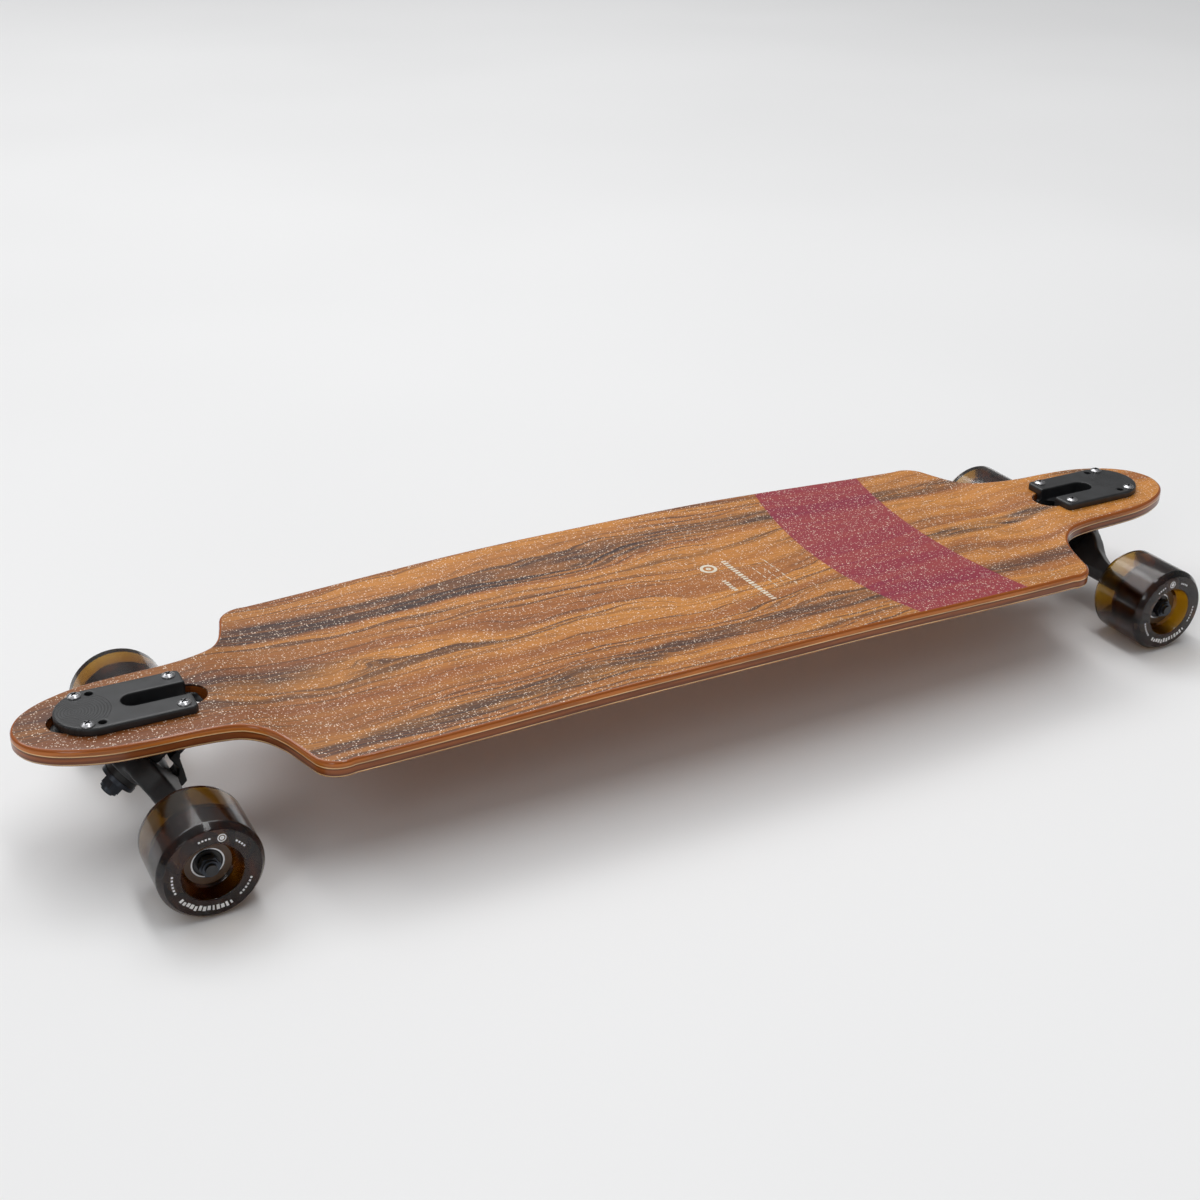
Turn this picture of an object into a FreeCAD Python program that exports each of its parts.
import FreeCAD, Part
import math
import os

os.makedirs("parts", exist_ok=True)

# A symmetrical drop-through longboard skateboard. Millimetres. The floor is z = 0, the middle
# of the deck is above the origin, +X points to the nose (front), +Y to the rider's left, +Z up.

V = FreeCAD.Vector
X_AXIS = V(1, 0, 0)
Y_AXIS = V(0, 1, 0)
Z_AXIS = V(0, 0, 1)

# ---- deck ----
DECK_LENGTH = 985.0
BODY_HALF_WIDTH = 126.0
WING_END = 300.0             # where the long side edge starts to turn into the wing's corner
WING_HALF_WIDTH = 120.3
DECK_TOP = 90.0              # top of the deck where the trucks sit
VENEER = 1.4
CORE = 9.6
DECK_THICKNESS = CORE + 2 * VENEER
DECK_EDGE_ROUND = 2.4
PLATFORM_DROP = 5.0          # the standing platform lies this much under the truck seats
PLATFORM_END = 315.0         # the platform's level part ends here
SEAT_START = 360.0           # from here outwards the deck is flat
CONCAVE = 6.8                # how far the side edges rise above the middle of the platform
CONCAVE_START = 60.0         # the concave starts to fade here
CONCAVE_END = 345.0
SPARE_DEPTH = 5.0            # how far a layer's cutting slab reaches past the deck's faces
SPARE_REACH = 10.0           # how far the slabs and cutters run past the outline
WING_CORNER = (317.2, 116.6)  # a point on the wing's rounded corner
NECK = [(323.6, 107), (328.0, 92), (334.0, 75.5), (343, 62.5), (357, 54), (380, 49.8),
        (412, 48.3), (436, 46), (455, 40.8), (474, 31.2), (487, 18)]

# ---- truck mounting ----
TRUCK_X = 414.5              # centre of each bolt pattern
BOLT_DX = 63.5 / 2
BOLT_DY = 41.3 / 2
SPARE_HOLE_INSET = 9.5       # the short bolt pattern's outer holes, left empty
BOLT_RADIUS = 2.4
BOLT_HOLE_RADIUS = 2.75
CUTOUT_INNER = -52.5         # ends of the deck's truck opening, measured outwards from TRUCK_X
CUTOUT_OUTER = 55.0
CUTOUT_HALF_WIDTH = 15.0

# ---- baseplate ----
PLATE_THICKNESS = 6.0
PLATE_TOP = DECK_TOP + PLATE_THICKNESS
PLATE_INNER = -40.0
PLATE_OUTER = 50.0
PLATE_HALF_WIDTH = 27.5
PLATE_CORNER = 2.5           # cut off each prong's outer corner
PLATE_EDGE_ROUND = 1.6
SLOT_HALF_WIDTH = 8.6
SLOT_END = 5.5               # closed end of the slot between the two prongs
SLOT_DEPTH = 11.0
FOOT_THICKNESS = 6.0         # casting that fills the deck's opening below the slot's floor
BLOCK_HALF_WIDTH = 13.6      # the cast block that goes down through the deck
TOWER_HALF_WIDTH = 7.8

# ---- steering geometry ----
STEER_ANGLE = 50.0           # the steering axis rises outwards at this angle
RING_OUT = -1.0              # hanger ring's centre, outwards from TRUCK_X
RING_DOWN = -45.4            # and down from the baseplate's top face
AXLE_OUT = -14.0
RING_RADIUS = 16.2
RING_HALF_THICKNESS = 5.0
RING_HOLE_RADIUS = 7.6
SEAT_RADIUS = 12.9           # recess in the hanger for the roadside bushing
SEAT_WALL_END = 13.0         # its wall's end, down the kingpin from the ring's centre
KINGPIN_RADIUS = 4.75
BUSHING_RADIUS = 12.3
BUSHING_HEIGHT = 14.0
BUSHING_GAP = 0.3            # left between a bushing's face and the hanger ring
CUP_WASHER = 1.5
CUP_WASHER_RADIUS = 13.0
NUT_HEIGHT = 9.0
PIVOT_RADIUS = 4.6
PIVOT_CUP_WALL = 1.4
PIVOT_MOUTH = 28.0           # pivot housing's face, along the steering axis from the ring
PIVOT_CUP_END = 34.5
HOUSING_END = 36.5
HOUSING_RADIUS = 7.8
KINGPIN_GRIP = 13.0          # cast metal between the boardside cup washer and the pin's head
KINGPIN_HEAD_POCKET = 9.5
KINGPIN_REACH = 60.0         # from the ring's centre, past both ends of the kingpin
BOLT_LENGTH = 28.0

# ---- wheels, axle and bearings ----
WHEEL_RADIUS = 35.0
WHEEL_WIDTH = 54.0
CORE_RADIUS = 15.5
WHEEL_OUTER_FACE = 130.3     # from the board's middle to the wheel's outer face
AXLE_RADIUS = 3.97
AXLE_HALF_LENGTH = 128.0
AXLE_REACH = 140.0           # from the middle, past the axle's ends
BEAM_STRAIGHT = 42.0         # half of the hanger's beam, up to where it tapers
BEAM_RADIUS = 7.2
BEAM_TIP_RADIUS = 6.6
WEB_START = -3.6             # the arms' web, along the kingpin from the ring's centre
WEB_END = 8.5
RIB_START = -8.6             # deck side of the rib on the web
BEARING_OUTER_RADIUS = 11.0
BEARING_BORE_RADIUS = 4.0
BEARING_WIDTH = 7.0
BEARING_SPACING = 10.0       # spacer between a wheel's two bearings
SPACER_RADIUS = 5.5
CORE_INNER_LIP = 1.0         # the wheel's hub stands this far past its bearings
CORE_OUTER_LIP = 0.6
OUTER_RECESS = 12.3          # wheel's outer face to the outer bearing
INNER_RING_RADIUS = 6.1
OUTER_RING_RADIUS = 9.0
BALL_RADIUS = 1.95
BALL_COUNT = 7
RACE_RADIUS = 2.03
SHIELD = 0.4
WASHER_THICKNESS = 1.0
WASHER_RADIUS = 5.7
AXLE_NUT_HEIGHT = 7.0

BUSHING_END = RING_HALF_THICKNESS + BUSHING_GAP + BUSHING_HEIGHT
STACK_END = BUSHING_END + CUP_WASHER      # outer face of a cup washer, from the ring's centre
HEAD_SEAT = -(STACK_END + KINGPIN_GRIP)
BEARING_PITCH = (BEARING_OUTER_RADIUS + BEARING_BORE_RADIUS) / 2
OUTER_BEARING = WHEEL_OUTER_FACE - OUTER_RECESS - BEARING_WIDTH / 2
INNER_BEARING = OUTER_BEARING - BEARING_WIDTH - BEARING_SPACING
HANGER_END = INNER_BEARING - BEARING_WIDTH / 2 - WASHER_THICKNESS
WHEEL_CENTRE = WHEEL_OUTER_FACE - WHEEL_WIDTH / 2

SIN = math.sin(math.radians(STEER_ANGLE))
COS = math.cos(math.radians(STEER_ANGLE))
TRUCK_ORIGIN = V(TRUCK_X, 0, PLATE_TOP)
RING_CENTRE = TRUCK_ORIGIN + V(RING_OUT, 0, RING_DOWN)
ALONG = V(-COS, 0, -SIN)     # down the steering axis, from the ring towards the pivot
KINGPIN_AXIS = V(SIN, 0, -COS)
AXLE_CENTRE = V(TRUCK_X + AXLE_OUT, 0, WHEEL_RADIUS)


def export(node, *solids):
    """Write one node's STEP file; several solids go in as separate pieces."""
    shape = solids[0] if len(solids) == 1 else Part.makeCompound(list(solids))
    shape.exportStep(os.path.join("parts", node + ".step"))


def at(along, kingpin, y=0.0):
    """A point of the front truck: distances down the steering axis and down the kingpin."""
    return RING_CENTRE + ALONG * along + KINGPIN_AXIS * kingpin + V(0, y, 0)


def plate_point(out, down, y=0.0):
    """A point of the front truck: outwards from the bolt pattern, and from the plate's top."""
    return TRUCK_ORIGIN + V(out, y, down)


def along_axle(distance):
    """A point of the front axle, from its middle to the left."""
    return AXLE_CENTRE + Y_AXIS * distance


def cylinder(radius, start, end):
    """A round bar between two points."""
    return Part.makeCylinder(radius, (end - start).Length, start, end - start)


def tube(radius, bore, start, end):
    return cylinder(radius, start, end).cut(cylinder(bore, start, end))


def hexagon(across_flats, start, end):
    """A hexagonal bar between two points."""
    axis = end - start
    turn = FreeCAD.Rotation(Z_AXIS, axis)
    radius = across_flats / math.sqrt(3)
    corners = [
        start + turn.multVec(V(radius * math.cos(a), radius * math.sin(a), 0))
        for a in (math.radians(60 * i) for i in range(7))
    ]
    return Part.Face(Part.makePolygon(corners)).extrude(axis)


def side_prism(points, half_width):
    """A block from an outline in the truck's middle plane, thickened both ways."""
    corners = [p - V(0, half_width, 0) for p in points]
    face = Part.Face(Part.makePolygon(corners + corners[:1]))
    return face.extrude(V(0, 2 * half_width, 0))


def revolve(profile, centre, axis=Y_AXIS):
    """Turn a (radius, distance along the axis) outline round an axis through centre."""
    side = X_AXIS if abs(axis.x) < 0.9 else Z_AXIS
    side = (side - axis * side.dot(axis)).normalize()
    corners = [centre + side * r + axis * d for r, d in profile]
    face = Part.Face(Part.makePolygon(corners + corners[:1]))
    return face.revolve(centre, axis, 360)


def to_rear(shape):
    """The rear truck is the front one turned half round about the board's middle."""
    turned = shape.copy()
    turned.rotate(V(0, 0, 0), Z_AXIS, 180)
    return turned


# ---- deck ----
def fade(x, start, end):
    """1 up to start, 0 from end, and a smooth curve between."""
    if abs(x) <= start:
        return 1.0
    if abs(x) >= end:
        return 0.0
    return 0.5 + 0.5 * math.cos(math.pi * (abs(x) - start) / (end - start))


def deck_height(x, y):
    """Height of the deck's top face."""
    rise = CONCAVE * (y / BODY_HALF_WIDTH) ** 2
    return (DECK_TOP - PLATFORM_DROP * fade(x, PLATFORM_END, SEAT_START)
            + rise * fade(x, CONCAVE_START, CONCAVE_END))


def deck_slab(top_depth, bottom_depth):
    """A layer of the deck between two depths under its top face, before it is cut to shape."""
    reach = BODY_HALF_WIDTH + SPARE_REACH
    columns = 48
    rows = 4
    grid = []
    for i in range(columns + 1):
        x = -SEAT_START + 2 * SEAT_START * i / columns
        ys = [-reach + 2 * reach * j / rows for j in range(rows + 1)]
        grid.append([V(x, y, deck_height(x, y) - top_depth) for y in ys])
    surface = Part.BSplineSurface()
    surface.interpolate(grid)
    thickness = bottom_depth - top_depth
    slab = surface.toShape().extrude(V(0, 0, -thickness))
    end_length = DECK_LENGTH / 2 + SPARE_REACH - SEAT_START
    for x in (SEAT_START, -SEAT_START - end_length):
        corner = V(x, -reach, DECK_TOP - bottom_depth)
        slab = slab.fuse(Part.makeBox(end_length, 2 * reach, thickness, corner))
    return slab.removeSplitter()


def deck_outline():
    """The deck's outline: two gently bowed sides, and a neck and a round nose at each end."""
    tip = DECK_LENGTH / 2
    end_points = NECK + [(tip, 0)] + [(x, -y) for x, y in reversed(NECK)]
    edges = []
    for sign in (1, -1):
        end = Part.BSplineCurve()
        end.interpolate([V(sign * x, sign * y, 0) for x, y in end_points])
        edges.append(end.toShape())
        side = Part.Arc(V(-WING_END, sign * WING_HALF_WIDTH, 0),
                        V(0, sign * BODY_HALF_WIDTH, 0),
                        V(WING_END, sign * WING_HALF_WIDTH, 0))
        edges.append(side.toShape())
        for end_sign in (1, -1):
            corner = Part.Arc(V(end_sign * WING_END, sign * WING_HALF_WIDTH, 0),
                              V(end_sign * WING_CORNER[0], sign * WING_CORNER[1], 0),
                              V(end_sign * NECK[0][0], sign * NECK[0][1], 0))
            edges.append(corner.toShape())
    return Part.Wire(Part.__sortEdges__(edges))


def bolt_places(with_spares):
    """Centres of the baseplate's bolt holes in plan, outwards from the pattern's middle."""
    outs = [-BOLT_DX, BOLT_DX]
    if with_spares:
        outs.append(BOLT_DX - SPARE_HOLE_INSET)
    return [(out, side * BOLT_DY) for out in outs for side in (-1, 1)]


def truck_opening():
    """The deck's opening for one truck and the six bolt holes round it, as a cutting tool."""
    height = 60
    bottom = DECK_TOP - 40
    inner = TRUCK_X + CUTOUT_INNER + CUTOUT_HALF_WIDTH
    outer = TRUCK_X + CUTOUT_OUTER - CUTOUT_HALF_WIDTH
    tool = Part.makeBox(outer - inner, 2 * CUTOUT_HALF_WIDTH, height,
                        V(inner, -CUTOUT_HALF_WIDTH, bottom))
    for x in (inner, outer):
        tool = tool.fuse(Part.makeCylinder(CUTOUT_HALF_WIDTH, height, V(x, 0, bottom)))
    for out, y in bolt_places(with_spares=True):
        hole = Part.makeCylinder(BOLT_HOLE_RADIUS, height, V(TRUCK_X + out, y, bottom))
        tool = tool.fuse(hole)
    return tool


def is_rim(edge, outline):
    """True for the edges round the outside of the deck's top and bottom faces."""
    box = edge.BoundBox
    upright = box.XLength < 0.01 and box.YLength < 0.01
    middle = edge.valueAt((edge.FirstParameter + edge.LastParameter) / 2)
    gap = outline.distToShape(Part.Vertex(middle.x, middle.y, 0))[0]
    return not upright and gap < 0.01


def build_deck():
    outline = deck_outline()
    blank = deck_slab(0, DECK_THICKNESS).common(Part.Face(outline).extrude(V(0, 0, 160)))
    blank = blank.makeFillet(DECK_EDGE_ROUND, [e for e in blank.Edges if is_rim(e, outline)])
    opening = truck_opening()
    blank = blank.cut(opening).cut(to_rear(opening))
    layers = (("top_veneer", -SPARE_DEPTH, VENEER),
              ("deck_core", VENEER, VENEER + CORE),
              ("bottom_veneer", VENEER + CORE, DECK_THICKNESS + SPARE_DEPTH))
    for node, top_depth, bottom_depth in layers:
        export(node, blank.common(deck_slab(top_depth, bottom_depth)))


# ---- trucks, all built at the front ----
def bolt_group(make):
    """One piece per used bolt hole, made by a function of the hole's centre in plan."""
    return [make(TRUCK_X + out, y) for out, y in bolt_places(with_spares=False)]


def opening_filler():
    """The casting's round-ended foot, which fills the deck's opening below the slot's floor."""
    clearance = CUTOUT_HALF_WIDTH - BLOCK_HALF_WIDTH
    inner = CUTOUT_INNER + clearance + BLOCK_HALF_WIDTH
    outer = CUTOUT_OUTER - clearance - BLOCK_HALF_WIDTH
    down = SLOT_DEPTH + FOOT_THICKNESS
    bar = Part.makeBox(outer - inner, 2 * BLOCK_HALF_WIDTH, FOOT_THICKNESS,
                       plate_point(inner, -down, -BLOCK_HALF_WIDTH))
    ends = [Part.makeCylinder(BLOCK_HALF_WIDTH, FOOT_THICKNESS, plate_point(out, -down))
            for out in (inner, outer)]
    return [bar] + ends


def plate():
    """The flat plate on the deck: round at its outer end, square at its two prongs."""
    edge = PLATE_HALF_WIDTH
    corner = PLATE_CORNER
    round_start = PLATE_OUTER - PLATE_HALF_WIDTH + 4
    straight = [(PLATE_INNER, corner - edge), (PLATE_INNER + corner, -edge), (round_start, -edge)]
    corners = [plate_point(out, -PLATE_THICKNESS, y) for out, y in straight]
    mirrored = [V(p.x, -p.y, p.z) for p in reversed(corners)]
    outer_end = Part.Arc(corners[-1], plate_point(PLATE_OUTER, -PLATE_THICKNESS), mirrored[0])
    path = Part.makePolygon(mirrored + corners)
    face = Part.Face(Part.Wire([outer_end.toShape()] + path.Edges))
    blank = face.extrude(V(0, 0, PLATE_THICKNESS))
    rim = [e for e in blank.Edges if e.BoundBox.ZMin > PLATE_TOP - 0.01]
    return blank.makeFillet(PLATE_EDGE_ROUND, rim)


def kingpin_block():
    """The cast block that goes down through the deck to the boardside cup washer."""
    return side_prism([
        plate_point(SLOT_END + 4, -PLATE_THICKNESS),
        plate_point(-2, -19),
        at(-13.5, -STACK_END),
        at(14.5, -STACK_END),
        at(14.5, -STACK_END - 6.2),
        plate_point(PLATE_INNER + 2, -27),
        plate_point(PLATE_INNER, -PLATE_THICKNESS),
    ], BLOCK_HALF_WIDTH)


def pivot_tower():
    """The arm under the deck that carries the pivot's housing."""
    tower = side_prism([
        at(12, -STACK_END - 8),
        at(14, -STACK_END),
        at(14, -13),
        at(24.5, -11.5),
        at(PIVOT_MOUTH, -HOUSING_RADIUS),
        at(PIVOT_MOUTH, 0),
        at(HOUSING_END, 0),
        at(HOUSING_END, -HOUSING_RADIUS),
        at(30.5, -11.5),
        at(20, -17.5),
        at(14, -STACK_END - 4.2),
    ], TOWER_HALF_WIDTH)
    return [tower, cylinder(HOUSING_RADIUS, at(PIVOT_MOUTH, 0), at(HOUSING_END, 0))]


def plate_slot():
    """The round-ended slot between the prongs, as cutting tools."""
    height = SLOT_DEPTH + SPARE_REACH
    length = SLOT_END - SLOT_HALF_WIDTH - PLATE_INNER
    slot = Part.makeBox(length + SPARE_REACH, 2 * SLOT_HALF_WIDTH, height,
                        plate_point(PLATE_INNER - SPARE_REACH, -SLOT_DEPTH, -SLOT_HALF_WIDTH))
    closed_end = Part.makeCylinder(SLOT_HALF_WIDTH, height,
                                   plate_point(SLOT_END - SLOT_HALF_WIDTH, -SLOT_DEPTH))
    return [slot, closed_end]


def baseplate():
    """Cast plate on the deck, its block through the deck, and the pivot's tower below."""
    body = plate().fuse([kingpin_block()] + pivot_tower() + opening_filler())
    body = body.cut(plate_slot())
    head_pocket = cylinder(KINGPIN_HEAD_POCKET, at(0, HEAD_SEAT), at(0, HEAD_SEAT - 40))
    kingpin_hole = cylinder(KINGPIN_RADIUS, at(0, 0), at(0, HEAD_SEAT - 5))
    cup_seat = cylinder(PIVOT_RADIUS + PIVOT_CUP_WALL, at(0, 0), at(PIVOT_CUP_END, 0))
    body = body.cut(head_pocket).cut(kingpin_hole).cut(cup_seat)
    for out, y in bolt_places(with_spares=True):
        hole = Part.makeCylinder(BOLT_HOLE_RADIUS, 30, plate_point(out, -20, y))
        body = body.cut(hole)
    return body.removeSplitter()


def mounting_bolt(x, y):
    """Truss-head bolt with a cross recess."""
    head_height = 2.2
    crown = revolve([(0, 0), (4.8, 0), (4.5, 1.1), (3.2, 1.9), (1.5, head_height),
                     (0, head_height)], V(x, y, PLATE_TOP), Z_AXIS)
    shank = Part.makeCylinder(BOLT_RADIUS, BOLT_LENGTH, V(x, y, PLATE_TOP - BOLT_LENGTH))
    recess_depth = 1.5
    recess_top = PLATE_TOP + head_height
    bars = [Part.makeBox(w, d, recess_depth, V(x - w / 2, y - d / 2, recess_top - recess_depth))
            for w, d in ((4.4, 0.9), (0.9, 4.4))]
    return crown.fuse(shank).cut(bars)


def mounting_locknut(x, y):
    deck_bottom = DECK_TOP - DECK_THICKNESS
    body = hexagon(9.5, V(x, y, deck_bottom), V(x, y, deck_bottom - 4.2))
    collar = Part.makeCylinder(4.2, 1.6, V(x, y, deck_bottom - 5.8))
    bore = Part.makeCylinder(BOLT_RADIUS, 10, V(x, y, deck_bottom - 8))
    return body.fuse(collar).cut(bore)


def kingpin():
    across_flats = 14.0
    head = hexagon(across_flats, at(0, HEAD_SEAT), at(0, HEAD_SEAT - 5.5))
    shank = cylinder(KINGPIN_RADIUS, at(0, HEAD_SEAT - 1), at(0, STACK_END + NUT_HEIGHT + 1.5))
    return head.fuse(shank)


def kingpin_nut():
    across_flats = 14.3
    collar_radius = 6.6
    top = STACK_END + NUT_HEIGHT
    body = hexagon(across_flats, at(0, STACK_END), at(0, top - 2.5))
    collar = cylinder(collar_radius, at(0, top - 3), at(0, top))
    return body.fuse(collar).cut(cylinder(KINGPIN_RADIUS, at(0, 0), at(0, KINGPIN_REACH)))


def cup_washer(side):
    """Steel washer with a lip that holds a bushing's outer end."""
    lip_depth = 1.6
    disc = cylinder(CUP_WASHER_RADIUS, at(0, side * BUSHING_END), at(0, side * STACK_END))
    lip = tube(CUP_WASHER_RADIUS, BUSHING_RADIUS,
               at(0, side * (BUSHING_END - lip_depth)), at(0, side * STACK_END))
    hole = cylinder(KINGPIN_RADIUS, at(0, -KINGPIN_REACH), at(0, KINGPIN_REACH))
    return disc.fuse(lip).cut(hole)


def bushing(side):
    """Urethane bushing between the hanger's ring and a cup washer; side is -1 at the deck."""
    start = RING_HALF_THICKNESS + BUSHING_GAP
    end = BUSHING_END
    waist = 0.6
    bore = KINGPIN_RADIUS
    profile = [(bore, start), (BUSHING_RADIUS - waist, start), (BUSHING_RADIUS, start + 2),
               (BUSHING_RADIUS, end), (bore, end)]
    turned = revolve(profile, V(0, 0, 0), Z_AXIS)
    return place_on_kingpin(turned, side)


def place_on_kingpin(shape, side):
    """Move a shape made round +Z at the origin to the ring's centre, along the kingpin."""
    turn = FreeCAD.Rotation(Z_AXIS, KINGPIN_AXIS * side)
    placed = shape.copy()
    placed.Placement = FreeCAD.Placement(RING_CENTRE, turn)
    return placed


def pivot_cup():
    """Urethane cup pressed into the tower; the hanger's pivot turns in it."""
    radius = PIVOT_RADIUS + PIVOT_CUP_WALL
    cup = cylinder(radius, at(PIVOT_MOUTH, 0), at(PIVOT_CUP_END, 0))
    running_fit = 0.06
    return cup.cut(cylinder(PIVOT_RADIUS + running_fit, at(0, 0), at(PIVOT_CUP_END - 1.2, 0)))


def hanger():
    """Cast hanger: kingpin ring, web, axle beam and pivot."""
    ring = cylinder(RING_RADIUS, at(0, -RING_HALF_THICKNESS), at(0, SEAT_WALL_END))
    beam = cylinder(BEAM_RADIUS, along_axle(-BEAM_STRAIGHT), along_axle(BEAM_STRAIGHT))
    body = ring.fuse(beam)
    for side in (1, -1):
        taper = Part.makeCone(BEAM_RADIUS, BEAM_TIP_RADIUS, HANGER_END - BEAM_STRAIGHT,
                              along_axle(side * BEAM_STRAIGHT), Y_AXIS * side)
        body = body.fuse(taper)
        body = body.fuse(hanger_arm(side))
    web_half_width = 9.0
    web = side_prism([at(8, -4.8), at(13.2, -4.8), at(17, -6.8), at(24, -6.4), at(27.2, -3.5),
                      at(27.2, 5), at(20, 7.4), at(13.2, 4.8), at(8, 4.8)], web_half_width)
    pivot = cylinder(PIVOT_RADIUS, at(20, 0), at(PIVOT_CUP_END - 1.6, 0))
    body = body.fuse([web, pivot])
    body = body.cut(cylinder(RING_HOLE_RADIUS, at(0, -20), at(0, 20)))
    seat = cylinder(SEAT_RADIUS, at(0, RING_HALF_THICKNESS), at(0, SEAT_WALL_END + 5))
    body = body.cut(seat)
    axle_bore = cylinder(AXLE_RADIUS, along_axle(-AXLE_REACH), along_axle(AXLE_REACH))
    return body.cut(axle_bore).removeSplitter()


def arm_slab(outline, side, start, end):
    """A flat slab of one hanger arm, from (along, y) points, between two kingpin distances."""
    corners = [at(along, start, side * y) for along, y in outline]
    face = Part.Face(Part.makePolygon(corners + corners[:1]))
    return face.extrude(KINGPIN_AXIS * (end - start))


def hanger_arm(side):
    """The broad web from the ring out along one half of the beam, and the rib on its deck side."""
    outer_edge = [(-4.5, 26), (3.5, 36), (9.5, 50), (13.3, 65), (14.7, 74), (19.5, 74)]
    web_root = [(24, 8), (12, 0), (-10, 7), (-13, 9), (-10.5, 16)]
    rib_root = [(24, 15), (12, 15), (-8.5, 18)]
    web = arm_slab(outer_edge + web_root, side, WEB_START, WEB_END)
    rib = arm_slab(outer_edge + rib_root, side, RIB_START, WEB_START)
    return web.fuse(rib)


def axle():
    return cylinder(AXLE_RADIUS, along_axle(-AXLE_HALF_LENGTH), along_axle(AXLE_HALF_LENGTH))


def both_ends(make):
    """Pieces on both halves of the axle, made by a function of the side."""
    pieces = []
    for side in (1, -1):
        made = make(side)
        pieces += made if isinstance(made, list) else [made]
    return pieces


def axle_nut(side):
    start = OUTER_BEARING + BEARING_WIDTH / 2 + WASHER_THICKNESS
    end = start + AXLE_NUT_HEIGHT
    across_flats = 12.7
    collar_radius = 5.6
    body = hexagon(across_flats, along_axle(side * start), along_axle(side * (end - 2)))
    collar = cylinder(collar_radius, along_axle(side * (end - 2.5)), along_axle(side * end))
    thread = cylinder(AXLE_RADIUS, AXLE_CENTRE, along_axle(side * AXLE_REACH))
    return body.fuse(collar).cut(thread)


def speed_washers(side):
    starts = (HANGER_END, OUTER_BEARING + BEARING_WIDTH / 2)
    return [tube(WASHER_RADIUS, AXLE_RADIUS, along_axle(side * start),
                 along_axle(side * (start + WASHER_THICKNESS))) for start in starts]


def race(profile, side, place):
    """A bearing ring with its groove for the balls."""
    centre = along_axle(side * place)
    ring = revolve(profile, centre)
    return ring.cut(Part.makeTorus(BEARING_PITCH, RACE_RADIUS, centre, Y_AXIS))


def ring_profile(inner, outer, width):
    half = width / 2
    return [(inner, -half), (outer, -half), (outer, half), (inner, half)]


def inner_rings(side):
    profile = ring_profile(BEARING_BORE_RADIUS, INNER_RING_RADIUS, BEARING_WIDTH)
    return [race(profile, side, place) for place in (INNER_BEARING, OUTER_BEARING)]


def bearing_spacer(side):
    start = INNER_BEARING + BEARING_WIDTH / 2
    return tube(SPACER_RADIUS, BEARING_BORE_RADIUS, along_axle(side * start),
                along_axle(side * (start + BEARING_SPACING)))


# ---- one front wheel; side is 1 on the left ----
def outer_rings(side):
    profile = ring_profile(OUTER_RING_RADIUS, BEARING_OUTER_RADIUS, BEARING_WIDTH)
    return [race(profile, side, place) for place in (INNER_BEARING, OUTER_BEARING)]


def shields(side):
    """The thin covers on both faces of both bearings, seated in the outer rings."""
    pieces = []
    for place in (INNER_BEARING, OUTER_BEARING):
        for face in (-1, 1):
            middle = place + face * (BEARING_WIDTH / 2 - 0.3 - SHIELD / 2)
            pieces.append(revolve(ring_profile(INNER_RING_RADIUS + 0.3, OUTER_RING_RADIUS,
                                               SHIELD), along_axle(side * middle)))
    return pieces


def ball_offset(index):
    """From a bearing's centre to one of its balls."""
    angle = 2 * math.pi * (index + 0.3) / BALL_COUNT
    return V(math.cos(angle), 0, math.sin(angle)) * BEARING_PITCH


def balls(side):
    return [Part.makeSphere(BALL_RADIUS, along_axle(side * place) + ball_offset(index))
            for place in (INNER_BEARING, OUTER_BEARING) for index in range(BALL_COUNT)]


def cages(side):
    """The crown-shaped rings that keep the balls apart."""
    back = -2.5
    pieces = []
    for place in (INNER_BEARING, OUTER_BEARING):
        centre = along_axle(side * place)
        cage = tube(BEARING_PITCH + 0.8, BEARING_PITCH - 0.8,
                    centre + Y_AXIS * back, centre + Y_AXIS * 0.7)
        for index in range(BALL_COUNT):
            spoke = ball_offset(index)
            cage = cage.cut(cylinder(BALL_RADIUS + 0.05, centre + spoke * 0.6,
                                     centre + spoke * 1.4))
        pieces.append(cage)
    return pieces


def wheel_core(side):
    """Hard hub with a seat for each bearing and a shoulder between them."""
    centre = along_axle(side * WHEEL_CENTRE)
    inner = INNER_BEARING - WHEEL_CENTRE
    outer = OUTER_BEARING - WHEEL_CENTRE
    half = BEARING_WIDTH / 2
    bore = BEARING_OUTER_RADIUS
    low = inner - half - CORE_INNER_LIP
    high = outer + half + CORE_OUTER_LIP
    profile = [(bore, low), (CORE_RADIUS, low), (CORE_RADIUS, high), (bore, high),
               (bore, outer - half), (OUTER_RING_RADIUS, outer - half),
               (OUTER_RING_RADIUS, inner + half), (bore, inner + half)]
    return revolve([(r, side * d) for r, d in profile], centre)


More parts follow.
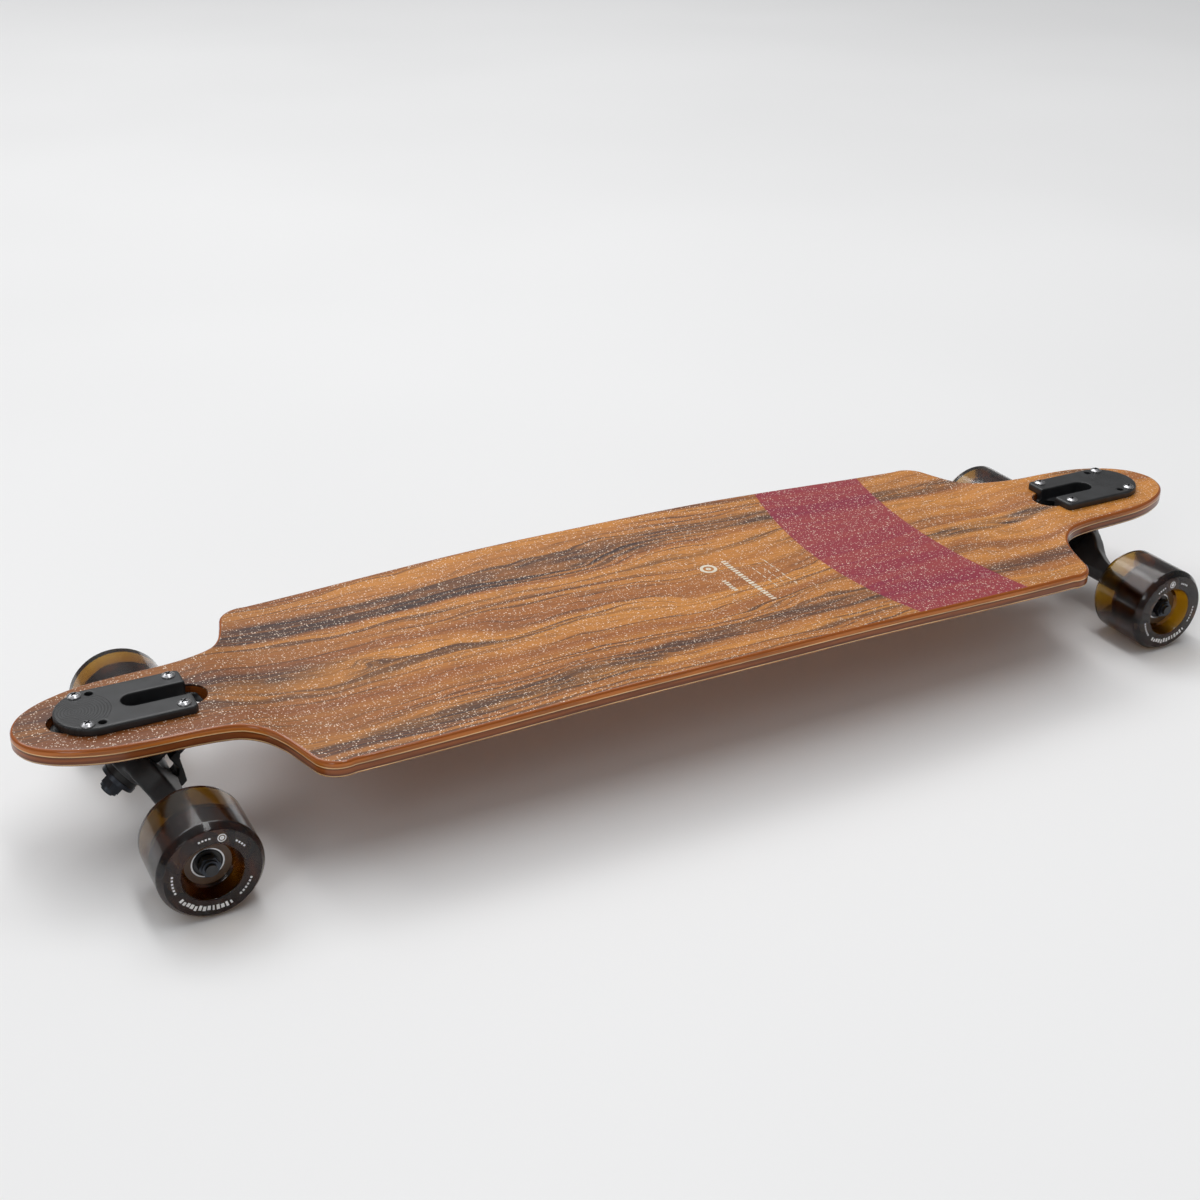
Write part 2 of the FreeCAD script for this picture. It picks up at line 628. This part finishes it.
def wheel_tyre(side):
    """Poured urethane wheel, dished at both faces, with rounded shoulders."""
    centre = along_axle(side * WHEEL_CENTRE)
    half = WHEEL_WIDTH / 2
    inner = INNER_BEARING - WHEEL_CENTRE - BEARING_WIDTH / 2 - CORE_INNER_LIP
    outer = OUTER_BEARING - WHEEL_CENTRE + BEARING_WIDTH / 2 + CORE_OUTER_LIP
    profile = [(CORE_RADIUS, inner), (CORE_RADIUS, outer), (17.5, outer + 1.4),
               (20.2, half), (30.5, half), (33.6, half - 1.3), (WHEEL_RADIUS, half - 5.5),
               (WHEEL_RADIUS, 5.5 - half), (33.6, 1.3 - half), (30.5, -half), (23.5, -half),
               (18.5, inner - 2)]
    return revolve([(r, side * d) for r, d in profile], centre)


def export_truck(end, place):
    """Write one truck's nodes; place moves a front piece to this end of the board."""
    groups = {
        "baseplate": [baseplate()],
        "pivot_cup": [pivot_cup()],
        "mounting_bolts": bolt_group(mounting_bolt),
        "mounting_locknuts": bolt_group(mounting_locknut),
        "kingpin": [kingpin()],
        "kingpin_nut": [kingpin_nut()],
        "cup_washers": [cup_washer(-1), cup_washer(1)],
        "boardside_bushing": [bushing(-1)],
        "roadside_bushing": [bushing(1)],
        "hanger": [hanger()],
        "axle": [axle()],
        "axle_nuts": both_ends(axle_nut),
        "speed_washers": both_ends(speed_washers),
        "bearing_inner_rings": both_ends(inner_rings),
        "bearing_spacers": both_ends(bearing_spacer),
    }
    for name, solids in groups.items():
        export(end + "_" + name, *[place(solid) for solid in solids])


def export_wheel(name, side, place):
    """Write one wheel's nodes."""
    groups = {
        "wheel_tyre": [wheel_tyre(side)],
        "wheel_core": [wheel_core(side)],
        "bearing_outer_rings": outer_rings(side),
        "bearing_shields": shields(side),
        "bearing_balls": balls(side),
        "ball_cages": cages(side),
    }
    for part_name, solids in groups.items():
        export(name + "_" + part_name, *[place(solid) for solid in solids])


def keep(shape):
    return shape


build_deck()
export_truck("front", keep)
export_truck("rear", to_rear)
export_wheel("front_left", 1, keep)
export_wheel("front_right", -1, keep)
export_wheel("rear_right", 1, to_rear)
export_wheel("rear_left", -1, to_rear)
